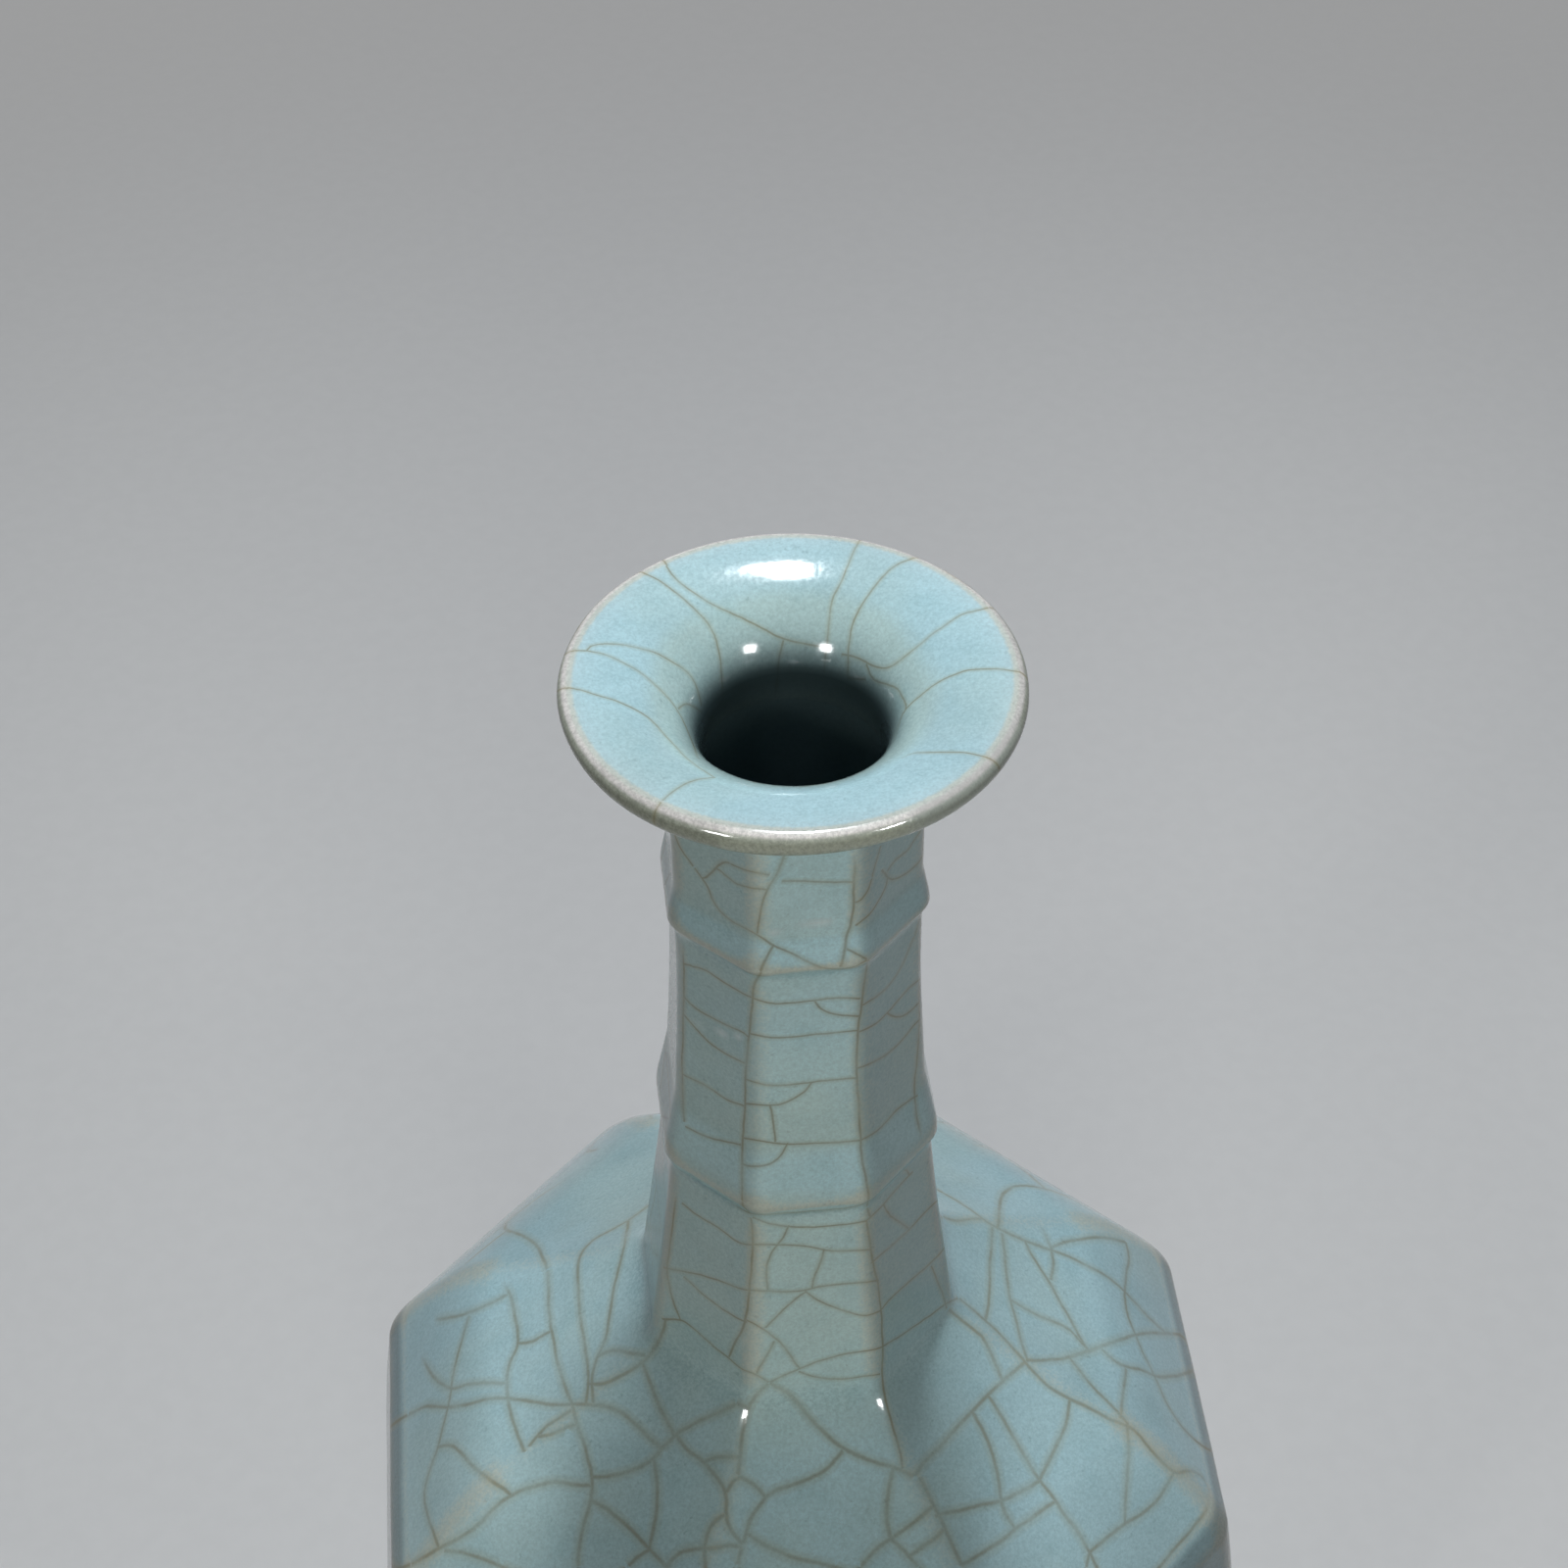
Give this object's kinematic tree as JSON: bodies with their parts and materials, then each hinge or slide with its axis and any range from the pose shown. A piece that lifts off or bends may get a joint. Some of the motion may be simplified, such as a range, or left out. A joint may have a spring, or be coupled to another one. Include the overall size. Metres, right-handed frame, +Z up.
{
  "type": "octagonal bottle vase",
  "caption": "Octagonal bottle vase with a trumpet mouth, raised bands on a tall neck, sloping faceted shoulder, full body and foot ring, in crackled celadon glaze.",
  "frame": {"origin": "middle of the foot ring's bottom face, on the surface that the vase stands on", "axes": "+Z up the vase's axis to the mouth, -Y out of the front face of the octagon, +X to the right"},
  "size_m": [0.1478, 0.1478, 0.296],
  "materials": {
    "celadon_glaze": "thick glossy celadon glaze with brown-stained crackle",
    "body_clay": "matte dark grey-brown fired stoneware",
    "foot_clay": "matte unglazed iron-brown stoneware"
  },
  "bodies": {
    "root": {"foot_ring": "foot_clay", "base_slab": "body_clay", "body_panel_right": "body_clay", "body_panel_back_right": "body_clay", "body_panel_back": "body_clay", "body_panel_back_left": "body_clay", "body_panel_left": "body_clay", "body_panel_front_left": "body_clay", "body_panel_front": "body_clay", "body_panel_front_right": "body_clay", "shoulder_panel_right": "body_clay", "shoulder_panel_back_right": "body_clay", "shoulder_panel_back": "body_clay", "shoulder_panel_back_left": "body_clay", "shoulder_panel_left": "body_clay", "shoulder_panel_front_left": "body_clay", "shoulder_panel_front": "body_clay", "shoulder_panel_front_right": "body_clay", "neck_root": "body_clay", "neck_tube": "body_clay", "lower_neck_band": "body_clay", "upper_neck_band": "body_clay", "mouth_trumpet": "body_clay", "outer_glaze": "celadon_glaze", "inner_glaze": "celadon_glaze", "foot_well_glaze": "celadon_glaze"}
  },
  "joints": []
}
